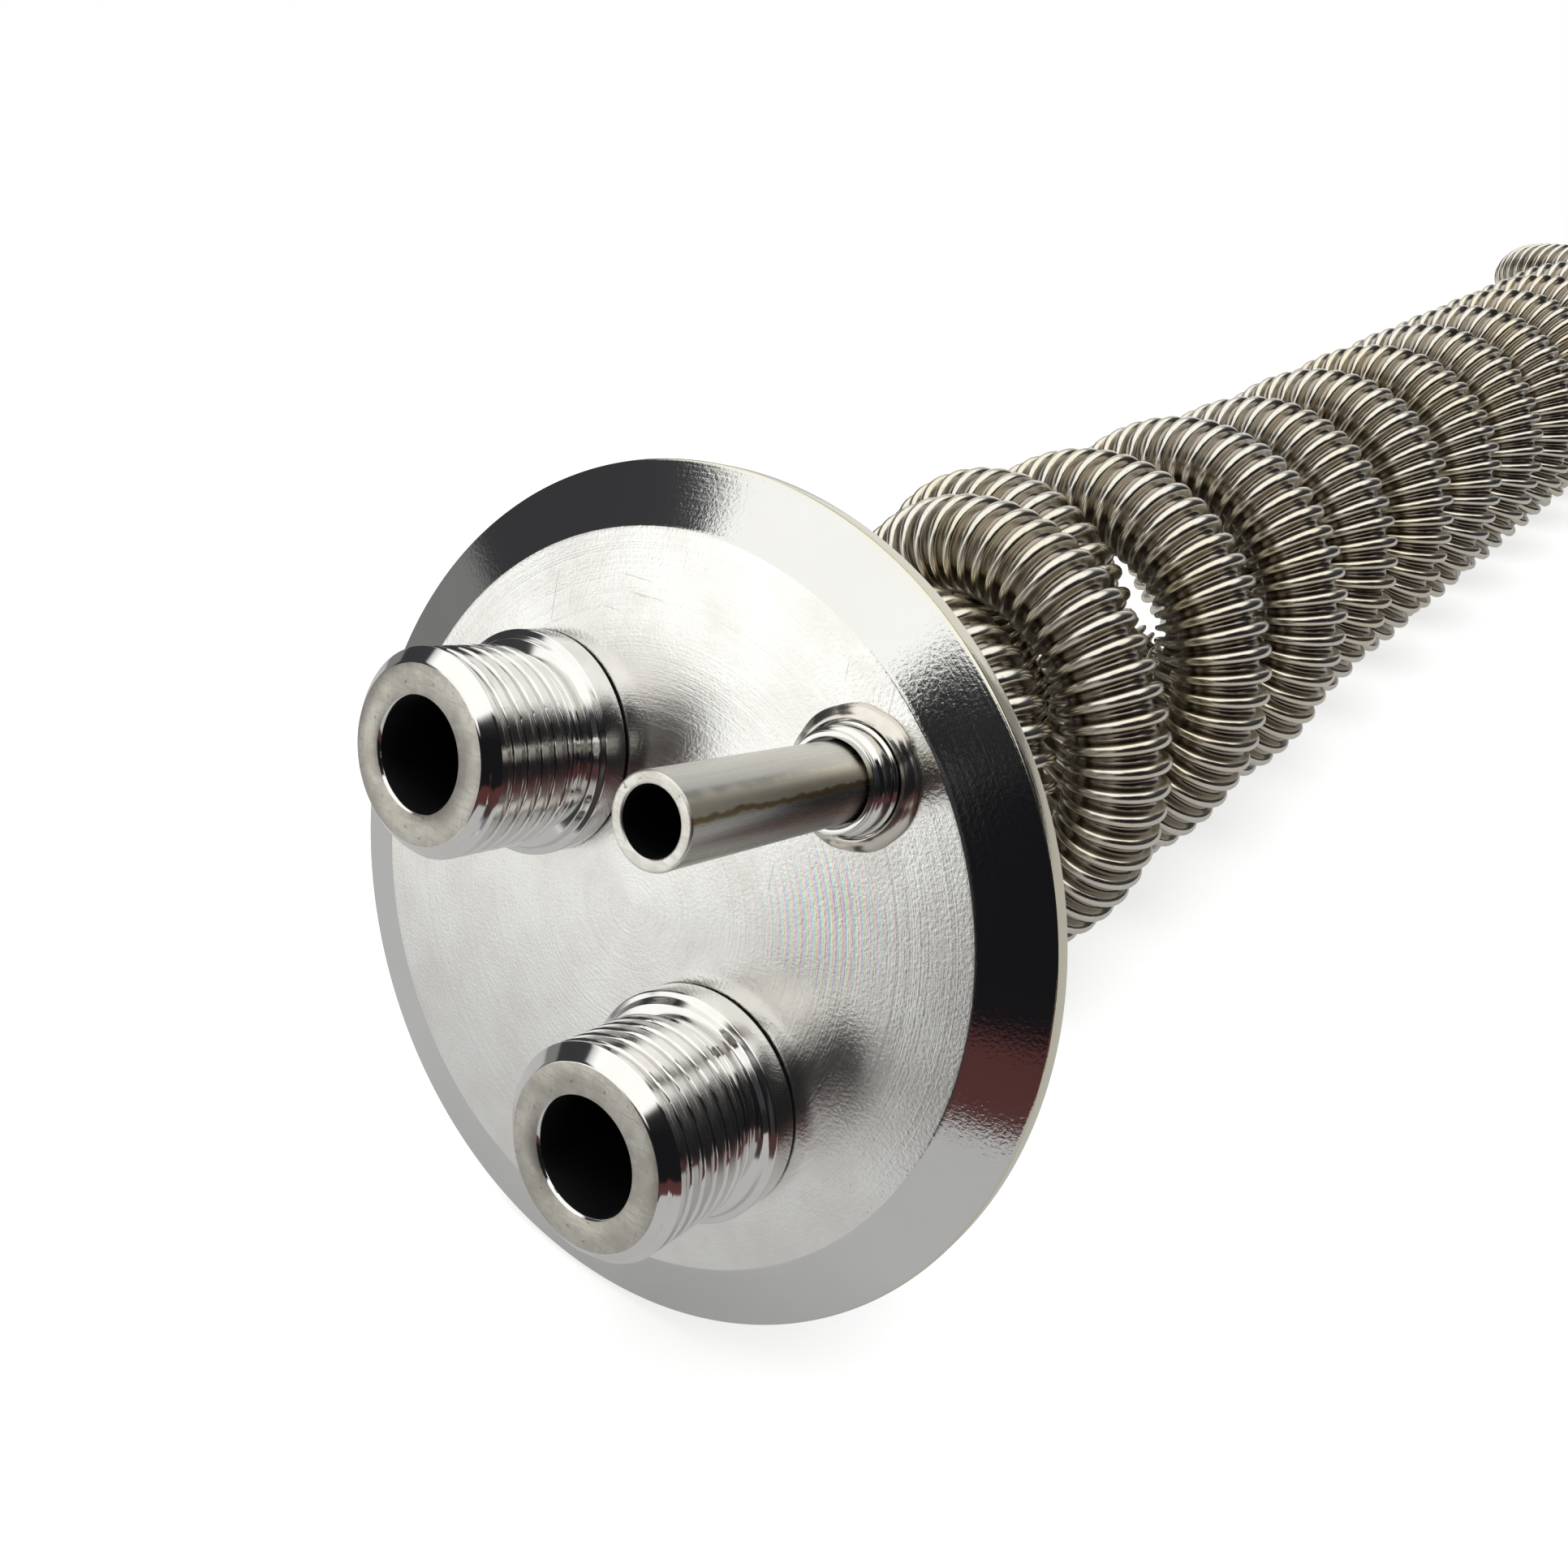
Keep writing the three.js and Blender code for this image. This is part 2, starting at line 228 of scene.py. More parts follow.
def make_object(name, verts, faces, matrix, materials, nodes):
    mesh = bpy.data.meshes.new(name)
    mesh.from_pydata([tuple(v) for v in verts], [], faces)
    mesh.validate()
    mesh.shade_smooth()
    piece = bpy.data.objects.new(name, mesh)
    bpy.context.scene.collection.objects.link(piece)
    piece.matrix_world = matrix
    for material in materials:
        mesh.materials.append(material)
    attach(piece, "root")
    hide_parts(*nodes)
    return piece


def soften(section, radius, steps=4):
    """Rounds each corner of a closed [radius, height] section by a short curve."""
    rounded = []
    count = len(section)
    for i in range(count):
        before, corner, after = (np.array(section[(i + k) % count], float) for k in (-1, 0, 1))
        to_before, to_after = before - corner, after - corner
        reach_before = min(radius, 0.45 * np.linalg.norm(to_before))
        reach_after = min(radius, 0.45 * np.linalg.norm(to_after))
        first = corner + to_before / np.linalg.norm(to_before) * reach_before
        last = corner + to_after / np.linalg.norm(to_after) * reach_after
        for step in range(steps + 1):
            t = step / steps
            rounded.append(((1 - t) ** 2 * first + 2 * t * (1 - t) * corner + t * t * last).tolist())
    return rounded


def revolve(rows, segments):
    """Verts and faces of a closed ring of rows. A row is (radius, height), or gives them for an angle."""
    verts = []
    for row in rows:
        for k in range(segments):
            angle = 2 * math.pi * k / segments
            radius, height = row(angle) if callable(row) else row
            verts.append((radius * math.cos(angle) * MM, radius * math.sin(angle) * MM, height * MM))
    faces = []
    count = len(rows)
    for i in range(count):
        j = (i + 1) % count
        for k in range(segments):
            n = (k + 1) % segments
            faces.append((i * segments + k, i * segments + n, j * segments + n, j * segments + k))
    return verts, faces


def face_weighted(piece):
    """Keeps flats flat in smooth shading."""
    modifier = piece.modifiers.new("weighted", "WEIGHTED_NORMAL")
    modifier.mode = "FACE_AREA_WITH_ANGLE"
    modifier.weight = 80
    modifier.keep_sharp = True


# ---------------------------------------------------------------- material helpers

class Nodes:
    """Short calls for building a node tree."""

    def __init__(self, tree):
        self.tree = tree
        self.coords = self.node("ShaderNodeTexCoord").outputs["Object"]

    def node(self, kind, **values):
        made = self.tree.nodes.new(kind)
        for key, value in values.items():
            setattr(made, key, value)
        return made

    def link(self, value, socket):
        if isinstance(value, bpy.types.NodeSocket):
            self.tree.links.new(value, socket)
        else:
            socket.default_value = value

    def math(self, operation, a, b=0.0):
        made = self.node("ShaderNodeMath", operation=operation)
        self.link(a, made.inputs[0])
        self.link(b, made.inputs[1])
        return made.outputs[0]

    def split(self, vector=None):
        made = self.node("ShaderNodeSeparateXYZ")
        self.link(vector or self.coords, made.inputs[0])
        return made.outputs

    def join(self, x, y, z):
        made = self.node("ShaderNodeCombineXYZ")
        for value, socket in zip((x, y, z), made.inputs):
            self.link(value, socket)
        return made.outputs[0]

    def noise(self, vector, scale, detail=3.0, roughness=0.55):
        made = self.node("ShaderNodeTexNoise")
        self.link(vector, made.inputs["Vector"])
        made.inputs["Scale"].default_value = scale
        made.inputs["Detail"].default_value = detail
        made.inputs["Roughness"].default_value = roughness
        return made.outputs["Fac"]

    def ramp(self, value, stops):
        """Smooth remap through (place, value) stops, from a value between 0 and 1."""
        made = self.node("ShaderNodeValToRGB")
        made.color_ramp.interpolation = "EASE"
        elements = made.color_ramp.elements
        while len(elements) < len(stops):
            elements.new(0.5)
        for element, (place, level) in zip(elements, stops):
            element.position = place
            element.color = (*level, 1) if isinstance(level, tuple) else (level, level, level, 1)
        self.link(value, made.inputs[0])
        return made.outputs["Color"]

    def mix(self, factor, a, b):
        made = self.node("ShaderNodeMix", data_type="RGBA", blend_type="MIX")
        self.link(factor, made.inputs[0])
        self.link(a if isinstance(a, bpy.types.NodeSocket) else (*a, 1), made.inputs[6])
        self.link(b if isinstance(b, bpy.types.NodeSocket) else (*b, 1), made.inputs[7])
        return made.outputs[2]

    def bump(self, height, strength, distance):
        made = self.node("ShaderNodeBump")
        made.inputs["Strength"].default_value = strength
        made.inputs["Distance"].default_value = distance * MM
        self.link(height, made.inputs["Height"])
        return made.outputs["Normal"]

    def window(self, value, low, high, edge):
        """1 between low and high, falling to 0 over edge."""
        rise = self.node("ShaderNodeMapRange", interpolation_type="SMOOTHSTEP")
        fall = self.node("ShaderNodeMapRange", interpolation_type="SMOOTHSTEP")
        self.link(value, rise.inputs["Value"])
        self.link(value, fall.inputs["Value"])
        rise.inputs["From Min"].default_value = low - edge
        rise.inputs["From Max"].default_value = low
        fall.inputs["From Min"].default_value = high
        fall.inputs["From Max"].default_value = high + edge
        fall.inputs["To Min"].default_value = 1.0
        fall.inputs["To Max"].default_value = 0.0
        return self.math("MULTIPLY", rise.outputs[0], fall.outputs[0])


class Shader(Nodes):
    """A metal material on one Principled node."""

    def __init__(self, name):
        self.material = bpy.data.materials.new(name)
        self.material.use_nodes = True
        super().__init__(self.material.node_tree)
        self.bsdf = self.tree.nodes["Principled BSDF"]

    def radius(self):
        x, y, _ = self.split()
        squares = self.math("ADD", self.math("MULTIPLY", x, x), self.math("MULTIPLY", y, y))
        return self.math("SQRT", squares)

    def angle(self):
        x, y, _ = self.split()
        return self.math("ARCTAN2", y, x)

    def around(self, strength):
        """Lathe-turned sheen: the highlight stretches across the circular marks."""
        made = self.node("ShaderNodeTangent", direction_type="RADIAL", axis="Z")
        self.link(made.outputs[0], self.bsdf.inputs["Tangent"])
        self.bsdf.inputs["Anisotropic"].default_value = strength
        self.bsdf.inputs["Anisotropic Rotation"].default_value = 0.25

    def stretched(self, across, up, depth):
        """Coordinates scaled by one number across and one up, at a depth that picks the pattern."""
        x, y, _ = self.split()
        return self.join(self.math("MULTIPLY", x, across), self.math("MULTIPLY", y, up), depth)

    def metal(self, color, roughness, normal):
        self.bsdf.inputs["Metallic"].default_value = 1.0
        self.link(color, self.bsdf.inputs["Base Color"])
        self.link(roughness, self.bsdf.inputs["Roughness"])
        self.link(normal, self.bsdf.inputs["Normal"])
        return self.material


# ---------------------------------------------------------------- materials

# Painted rainbow sheen on the flat face: a round patch placed from the plate's centre.
RAINBOW_PLACE = (22, 7.5)
RAINBOW_CORE = 1.5
RAINBOW_FADE = 8
RAINBOW_PITCH = 0.9
RAINBOW_PHASES = (0.0, 2.1, 4.2)
RAINBOW_STRENGTH = 0.24

# Heat streak along the stub, as angles about it in degrees.
STREAK = (24, 40, 14)
STREAK_CORE = (18, 21, 4)

def hairlines(s, across, up, depth):
    """Thin straight scratches: the peaks of a noise stretched along one axis."""
    return s.ramp(s.noise(s.stretched(across, up, depth), 1.0, 2.0), ((0.72, 0.0), (0.76, 1.0)))


def rainbow(s, base, radius):
    """Painted rainbow sheen: faint rainbow stripes mixed into the face's colour, in a round patch."""
    x, y, _ = s.split()
    stripe = s.math("MULTIPLY", radius, 2 * math.pi / (RAINBOW_PITCH * MM))
    waves = [s.math("SINE", s.math("ADD", stripe, phase)) for phase in RAINBOW_PHASES]
    tint = s.join(*(s.math("MULTIPLY_ADD", wave, 0.5) for wave in waves))
    across = s.math("POWER", s.math("SUBTRACT", x, RAINBOW_PLACE[0] * MM), 2.0)
    up = s.math("POWER", s.math("SUBTRACT", y, RAINBOW_PLACE[1] * MM), 2.0)
    distance = s.math("SQRT", s.math("ADD", across, up))
    patch = s.window(distance, -1.0, RAINBOW_CORE * MM, RAINBOW_FADE * MM)
    return s.mix(s.math("MULTIPLY", patch, RAINBOW_STRENGTH), base, tint)


def turned_face_material():
    """Flat of the plate: fine concentric marks, smudges, hairline scratches and a faint painted rainbow
    sheen.
    """
    s = Shader("turned_face")
    radius = s.radius()
    rings = s.noise(s.join(radius, 0.0, 0.0), 4200, 4.0, 0.7)
    wide_rings = s.noise(s.join(radius, 0.0, 0.0), 900, 3.0, 0.6)
    grain = s.noise(s.coords, 2600, 2.0, 0.6)
    smudge = s.noise(s.coords, 90, 4.0, 0.6)
    scratches = s.math("MAXIMUM", hairlines(s, 60, 2400, 0.0), hairlines(s, 1900, 45, 3.0))
    clean, smudged = (0.87, 0.865, 0.845), (0.78, 0.765, 0.735)
    base = s.mix(s.ramp(smudge, ((0.35, 0.0), (0.7, 1.0))), clean, smudged)
    # Painted rainbow sheen mixed into the face's colour.
    base = rainbow(s, base, radius)
    rough = s.math("ADD", 0.13, s.math("MULTIPLY", smudge, 0.10))
    rough = s.math("ADD", rough, s.math("MULTIPLY", scratches, 0.12))
    height = s.math("ADD", s.math("MULTIPLY", rings, 0.8), s.math("MULTIPLY", wide_rings, 0.7))
    height = s.math("ADD", height, s.math("MULTIPLY", grain, 0.9))
    height = s.math("SUBTRACT", height, s.math("MULTIPLY", scratches, 0.25))
    s.around(0.65)
    return s.metal(base, rough, s.bump(height, 0.7, 0.04))


def turned_rim_material():
    """Bevel, rim and back of the plate: smoother turned steel."""
    s = Shader("turned_rim")
    radius = s.radius()
    slope = s.math("ADD", radius, s.split()[2])
    rings = s.noise(s.join(slope, 0.0, 0.0), 3600, 3.0, 0.6)
    grain = s.noise(s.coords, 2600, 2.0, 0.6)
    smudge = s.noise(s.coords, 110, 4.0, 0.6)
    base = s.mix(smudge, (0.74, 0.735, 0.72), (0.66, 0.655, 0.64))
    wall = s.window(radius, (PLATE_RADIUS - 0.1) * MM, 1.0, 0.2 * MM)
    base = s.mix(s.math("MULTIPLY", wall, 0.8), base, (0.70, 0.66, 0.50))
    rough = s.math("ADD", 0.05, s.math("MULTIPLY", smudge, 0.07))
    height = s.math("ADD", rings, s.math("MULTIPLY", grain, 0.9))
    s.around(0.5)
    return s.metal(base, rough, s.bump(height, 0.5, 0.025))


def polished_material():
    """Bright turned flanks of the ports."""
    s = Shader("polished_steel")
    rings = s.noise(s.join(s.split()[2], 0.0, 0.0), 6000, 2.0, 0.6)
    smudge = s.noise(s.coords, 260, 3.0, 0.6)
    rough = s.math("ADD", 0.05, s.math("MULTIPLY", smudge, 0.08))
    base = s.mix(smudge, (0.80, 0.79, 0.775), (0.70, 0.69, 0.67))
    s.around(0.3)
    return s.metal(base, rough, s.bump(rings, 0.06, 0.01))


def end_face_material(name, clean, stained):
    """Matt sawn-and-faced ends, with drag marks and specks."""
    s = Shader(name)
    drag = s.noise(s.stretched(500, 3000, 0.0), 1.0, 3.0, 0.7)
    cross = s.noise(s.stretched(3200, 420, 5.0), 1.0, 3.0, 0.7)
    specks = s.ramp(s.noise(s.coords, 1300, 2.0), ((0.68, 0.0), (0.73, 1.0)))
    smudge = s.noise(s.coords, 320, 3.0)
    base = s.mix(s.ramp(smudge, ((0.35, 0.0), (0.65, 1.0))), clean, stained)
    drag_marks = s.ramp(drag, ((0.52, 0.0), (0.62, 1.0)))
    cross_marks = s.ramp(cross, ((0.55, 0.0), (0.66, 1.0)))
    marks = s.math("MAXIMUM", drag_marks, cross_marks)
    base = s.mix(s.math("MULTIPLY", marks, 0.7), base, stained)
    base = s.mix(s.math("MULTIPLY", specks, 0.55), base, (0.16, 0.14, 0.12))
    rough = s.math("ADD", 0.28, s.math("MULTIPLY", drag, 0.2))
    height = s.math("ADD", drag, s.math("MULTIPLY", cross, 0.6))
    return s.metal(base, rough, s.bump(height, 0.8, 0.04))


def bore_material():
    """Inside of the ports and the stub: drilled, unlit and slightly stained."""
    s = Shader("bore_steel")
    rings = s.noise(s.join(s.split()[2], 0.0, 0.0), 4000, 2.0, 0.6)
    stain = s.noise(s.coords, 200, 3.0)
    base = s.mix(stain, (0.10, 0.10, 0.11), (0.05, 0.05, 0.055))
    rough = s.math("ADD", 0.4, s.math("MULTIPLY", rings, 0.1))
    return s.metal(base, rough, s.bump(rings, 0.2, 0.02))


def drawn_lines(s, around, length, detail, roughness):
    """Noise stretched along the tube."""
    height = s.split()[2]
    place = s.join(s.math("MULTIPLY", s.angle(), around), s.math("MULTIPLY", height, length), 0.0)
    return s.noise(place, 1.0, detail, roughness)


def streak_window(s, wander, limits):
    low, high, edge = (math.radians(limit) for limit in limits)
    return s.window(wander, low, high, edge)


def stub_material():
    """Drawn tube: lines along its length, and a straw-coloured heat streak down one side."""
    s = Shader("stub_steel")
    lines = drawn_lines(s, 16, 70, 4.0, 0.65)
    fine = drawn_lines(s, 60, 160, 3.0, 0.7)
    grain = s.noise(s.coords, 3000, 2.0)
    drift = s.math("SUBTRACT", s.noise(s.coords, 420, 2.0), 0.5)
    wander = s.math("ADD", s.angle(), s.math("MULTIPLY", drift, 0.3))
    streak = streak_window(s, wander, STREAK)
    core = streak_window(s, wander, STREAK_CORE)
    base = s.mix(lines, (0.62, 0.605, 0.57), (0.42, 0.405, 0.37))
    base = s.mix(s.math("MULTIPLY", streak, 0.85), base, (0.97, 0.91, 0.74))
    base = s.mix(s.math("MULTIPLY", core, 0.85), base, (0.36, 0.24, 0.09))
    rough = s.math("ADD", 0.20, s.math("MULTIPLY", fine, 0.16))
    rough = s.math("ADD", rough, s.math("MULTIPLY", streak, 0.16))
    height = s.math("ADD", s.math("ADD", lines, fine), s.math("MULTIPLY", grain, 0.3))
    return s.metal(base, rough, s.bump(height, 0.22, 0.02))


def weld_material():
    """Bright weld metal with a faint heat tint."""
    s = Shader("weld_steel")
    tint = s.noise(s.coords, 500, 3.0)
    base = s.mix(tint, (0.76, 0.74, 0.70), (0.60, 0.55, 0.47))
    rough = s.math("ADD", 0.12, s.math("MULTIPLY", tint, 0.12))
    return s.metal(base, rough, s.bump(s.noise(s.coords, 2200, 3.0), 0.25, 0.03))


def hose_material():
    """Corrugated hose: straw-tinted crests, with painted shade and some dirt darkening the flanks and
    valleys.
    """
    s = Shader("hose_steel")
    crest = s.node("ShaderNodeAttribute", attribute_name="crest").outputs["Fac"]
    patches = s.noise(s.coords, 60, 4.0, 0.6)
    fine = s.noise(s.coords, 1500, 3.0, 0.65)
    grey, straw = (0.72, 0.69, 0.62), (0.72, 0.66, 0.52)
    valley, stain = (0.36, 0.32, 0.27), (0.40, 0.35, 0.28)
    tinted = s.mix(s.ramp(patches, ((0.4, 0.0), (0.65, 1.0))), grey, straw)
    # Painted shade and dirt: the colour darkens from crest to valley, where the corrugations shade each
    # other.
    metal = s.mix(s.ramp(crest, ((0.0, 0.0), (0.35, 0.4), (0.8, 1.0))), valley, tinted)
    stained = s.math("MULTIPLY", s.ramp(fine, ((0.55, 0.0), (0.75, 1.0))), 0.35)
    metal = s.mix(stained, metal, stain)
    rough = s.math("ADD", 0.14, s.math("MULTIPLY", fine, 0.14))
    return s.metal(metal, rough, s.bump(fine, 0.12, 0.03))


FACE_STEEL = turned_face_material()
RIM_STEEL = turned_rim_material()
POLISHED = polished_material()
END_STEEL = end_face_material("end_face", (0.62, 0.595, 0.54), (0.47, 0.445, 0.395))
STUB_END_STEEL = end_face_material("stub_end_face", (0.95, 0.93, 0.88), (0.74, 0.71, 0.65))
BORE_STEEL = bore_material()
STUB_STEEL = stub_material()
WELD_STEEL = weld_material()
HOSE_STEEL = hose_material()


# ---------------------------------------------------------------- plate

def plate_rows():
    """Closed section of the plate, from the hub at the back round the rim to the hub in front."""
    back = -PLATE_THICKNESS
    rows = [[PLATE_HUB, back]]
    for i in range(GROOVE_STEPS + 1):
        turn = math.pi * i / GROOVE_STEPS
        across = GROOVE_HALF_WIDTH * math.cos(turn)
        rows.append([GROOVE_RADIUS - across, back + GROOVE_DEPTH * math.sin(turn)])
    rim = [[PLATE_RADIUS, back], [PLATE_RADIUS, -BEVEL_DROP], [FACE_RADIUS, 0.0]]
    outline = [[PLATE_HUB, back]] + rim + [[PLATE_HUB, 0.0]]
    rounded = soften(outline, EDGE_ROUND, EDGE_STEPS)
    corner = EDGE_STEPS + 1
    rows += rounded[corner:3 * corner]
    slope = BEVEL_DROP / (PLATE_RADIUS - FACE_RADIUS)
    rows += [[PLATE_RADIUS - inset, -BEVEL_DROP + slope * inset] for inset in BEVEL_ROWS]
    rows += [[FACE_RADIUS + inset, -slope * inset] for inset in CORNER_ROWS]
    rows += [[FACE_RADIUS - inset, 0.0] for inset in reversed(CORNER_ROWS)]
    rows += [[share * FACE_RADIUS, 0.0] for share in FACE_ROWS]
    rows.append([PLATE_HUB, 0.0])
    return rows


def build_plate():
    rows = plate_rows()
    verts, faces = revolve(rows, PLATE_SIDES)
    faces = faces[:-PLATE_SIDES]
    last = (len(rows) - 1) * PLATE_SIDES
    faces.append(tuple(range(last, last + PLATE_SIDES)))
    faces.append(tuple(reversed(range(PLATE_SIDES))))
    materials = [RIM_STEEL, FACE_STEEL]
    plate = make_object("plate_turned", verts, faces, PLATE, materials, ["plate"])
    for polygon in plate.data.polygons:
        inside = math.hypot(polygon.center.x, polygon.center.y) < (FACE_RADIUS - TOUCH) * MM
        if inside and polygon.center.z > -TOUCH * MM:
            polygon.material_index = 1
    plate.data.set_sharp_from_angle(angle=math.radians(PLATE_SHARP_ANGLE))
    for foot, radius in ((INLET, SPIGOT_RADIUS), (OUTLET, SPIGOT_RADIUS), (STUB, STUB_RADIUS)):
        drill_hole(plate, foot, radius + GAP)


def drill_mesh(radius):
    """A closed cylinder that reaches through the plate from both sides."""
    reach = 2 * PLATE_THICKNESS
    turns = [2 * math.pi * k / DRILL_SIDES for k in range(DRILL_SIDES)]
    ring = [(radius * math.cos(turn), radius * math.sin(turn)) for turn in turns]
    verts = [(x * MM, y * MM, z * MM) for z in (-reach, reach) for x, y in ring]
    faces = []
    for k in range(DRILL_SIDES):
        n = (k + 1) % DRILL_SIDES
        faces.append((k, n, DRILL_SIDES + n, DRILL_SIDES + k))
    faces.append(tuple(reversed(range(DRILL_SIDES))))
    faces.append(tuple(range(DRILL_SIDES, 2 * DRILL_SIDES)))
    mesh = bpy.data.meshes.new("drill")
    mesh.from_pydata(verts, [], faces)
    return mesh


def drill_hole(plate, foot, radius):
    """Cuts a round hole through the plate, at a fitting's foot."""
    drill = bpy.data.objects.new("drill", drill_mesh(radius))
    bpy.context.scene.collection.objects.link(drill)
    drill.matrix_world = foot
    modifier = plate.modifiers.new("hole", "BOOLEAN")
    modifier.operation = "DIFFERENCE"
    modifier.solver = "EXACT"
    modifier.object = drill
    bpy.context.view_layer.update()
    evaluated = plate.evaluated_get(bpy.context.evaluated_depsgraph_get())
    cut = bpy.data.meshes.new_from_object(evaluated)
    plate.modifiers.remove(modifier)
    plate.data = cut
    bpy.data.objects.remove(drill)


# ---------------------------------------------------------------- ports

def thread_row(height):
    """Row of the helical thread: flat-topped crests and narrow roots, cut off by the chamfer at the mouth."""
    limit = NIPPLE_FACE_RADIUS + (NIPPLE_TOP - height) * CHAMFER_SLOPE
    run_in = min(1.0, max(0.0, (height - THREAD_START) / (THREAD_RUN_IN * THREAD_PITCH)))

    def row(angle):
        phase = (height / THREAD_PITCH - angle / (2 * math.pi)) % 1.0
        valley = max(0.0, math.cos(2 * math.pi * phase)) ** THREAD_VALLEY_SHARPNESS
        radius = THREAD_MAJOR - THREAD_DEPTH * (1 - run_in * (1 - valley))
        return min(radius, limit), height
    return row


def nipple_lower_rows():
    """Spigot, shoulder and relief ring, up to the start of the thread."""
    root = THREAD_MAJOR - THREAD_DEPTH
    outline = [
        [SOCKET_RADIUS, SOCKET_FLOOR], [SOCKET_RADIUS, SPIGOT_END],
        [SPIGOT_RADIUS, SPIGOT_END], [SPIGOT_RADIUS, GAP],
        [SHOULDER_RADIUS, GAP], [SHOULDER_RADIUS, SHOULDER_TOP],
        [RING_RADIUS + 0.25, SHOULDER_TOP + 0.15], [RING_RADIUS, RING_TOP],
        [root, RING_TOP + 0.25], [root, THREAD_START],
    ]
    return soften(outline, NIPPLE_ROUND, 3)[2:-2]


def nipple_mouth_rows():
    """End face, small bevel at the bore, the bore and the socket's floor."""
    edge = 0.06
    return [
        [NIPPLE_FACE_RADIUS + edge, NIPPLE_TOP - 0.05], [NIPPLE_FACE_RADIUS - edge, NIPPLE_TOP],
        [BORE_RADIUS + 0.25, NIPPLE_TOP], [BORE_RADIUS + 0.2, NIPPLE_TOP - 0.04],
        [BORE_RADIUS + 0.02, NIPPLE_TOP - 0.3], [BORE_RADIUS, NIPPLE_TOP - 0.4],
        [BORE_RADIUS, SOCKET_FLOOR + 0.1], [BORE_RADIUS + 0.1, SOCKET_FLOOR],
    ]


def build_nipple(name, node, foot):
    heights = np.arange(THREAD_START, THREAD_END, THREAD_ROW_STEP)
    threads = [thread_row(float(height)) for height in heights]
    verts, faces = revolve(nipple_lower_rows() + threads + nipple_mouth_rows(), NIPPLE_SIDES)
    materials = [POLISHED, END_STEEL, BORE_STEEL]
    nipple = make_object(name, verts, faces, foot, materials, [node])
    for polygon in nipple.data.polygons:
        reach = math.hypot(polygon.center.x, polygon.center.y)
        in_bore = reach < (BORE_RADIUS + 0.01) * MM
        in_socket = polygon.center.z < SOCKET_FLOOR * MM and reach < (SOCKET_RADIUS + 0.15) * MM
        if polygon.center.z > (NIPPLE_TOP - TOUCH) * MM:
            polygon.material_index = 1
        elif in_bore or in_socket:
            polygon.material_index = 2
    nipple.data.set_sharp_from_angle(angle=math.radians(SHARP_ANGLE))


# ---------------------------------------------------------------- rings, welds and stub

def lathe_piece(name, section, rounding, foot, materials, node):
    verts, faces = revolve(soften(section, rounding), LATHE_SIDES)
    piece = make_object(name, verts, faces, foot, materials, [node])
    piece.data.set_sharp_from_angle(angle=math.radians(SHARP_ANGLE))
    face_weighted(piece)


def weld_bead(name, node, foot, section, ripples, depth, seed):
    """Ring of weld metal: the section is modulated by overlapping puddles and a slow wander."""
    smooth = soften(section, 0.1, 2)
    low = min(height for _, height in smooth)
    centre = sum(radius for radius, _ in smooth) / len(smooth)

    def row_at(radius, height):
        def row(angle):
            puddle = abs(math.sin(0.5 * ripples * angle + 0.5 * (height - low)))
            wander = noise.noise(Vector((2 * math.cos(angle), 2 * math.sin(angle), seed)))
            swell = depth * (0.6 * puddle - 0.4) + 0.9 * depth * wander
            out = 1.0 if radius > centre else 0.35
            return radius + out * swell, height + (height - low) * 0.5 * swell
        return row

    rows = [row_at(radius, height) for radius, height in smooth]
    verts, faces = revolve(rows, BEAD_SIDES)
    make_object(name, verts, faces, foot, [WELD_STEEL], [node])


def facing_back(foot):
    """The same foot, turned to the plate's back face."""
    return foot @ Matrix.Translation((0, 0, -(PLATE_THICKNESS + GAP) * MM)) @ Matrix.Rotation(math.pi, 4, "X")


def fillet(inner, width, height):
    """Quarter-round bead: flat against the plate and the tube, bulging outwards between them."""
    section = [[inner, 0]]
    for step in range(BEAD_STEPS + 1):
        turn = 0.5 * math.pi * step / BEAD_STEPS
        section.append([inner + width * math.cos(turn), height * math.sin(turn)])
    return section


def hose_bead_section(start):
    end = start - HOSE_BEAD_LENGTH
    middle = start - HOSE_BEAD_LENGTH / 2
    low, mid, high = HOSE_BEAD_RADII
    return [[SOCKET_RADIUS, end], [low, end], [mid, middle], [high, start], [SOCKET_RADIUS, start]]


def build_port(side, foot, seed):
    build_nipple(f"{side}_nipple_threaded", f"{side}_nipple", foot)
    back_section = fillet(SPIGOT_RADIUS + GAP, BACK_BEAD_WIDTH, BACK_BEAD_HEIGHT)
    weld_bead(f"{side}_back_bead", f"{side}_back_weld", facing_back(foot), back_section, 26, 0.16, seed)
    start = SPIGOT_END - GAP
    weld_bead(f"{side}_hose_bead", f"{side}_hose_weld", foot, hose_bead_section(start), 22, 0.10, seed + 1.7)
    top = start - HOSE_BEAD_LENGTH - GAP
    bottom = top - END_RING_LENGTH
    ring = [[SOCKET_RADIUS, bottom], [END_RING_RADIUS, bottom], [END_RING_RADIUS, top], [SOCKET_RADIUS, top]]
    lathe_piece(f"{side}_pressed_ring", ring, 0.4, foot, [RIM_STEEL], f"{side}_end_ring")


def build_stub_tube():
    section = [[STUB_BORE, STUB_END], [STUB_RADIUS, STUB_END], [STUB_RADIUS, STUB_TOP], [STUB_BORE, STUB_TOP]]
    verts, faces = revolve(soften(section, STUB_EDGE_ROUND, 4), LATHE_SIDES)
    materials = [STUB_STEEL, STUB_END_STEEL, BORE_STEEL]
    tube = make_object("stub_drawn_tube", verts, faces, STUB, materials, ["stub_tube"])
    for polygon in tube.data.polygons:
        reach = math.hypot(polygon.center.x, polygon.center.y)
        if reach < (STUB_BORE + 0.03) * MM:
            polygon.material_index = 2
        elif polygon.center.z > (STUB_TOP - 0.06) * MM:
            polygon.material_index = 1
    tube.data.set_sharp_from_angle(angle=math.radians(SHARP_ANGLE))
    face_weighted(tube)


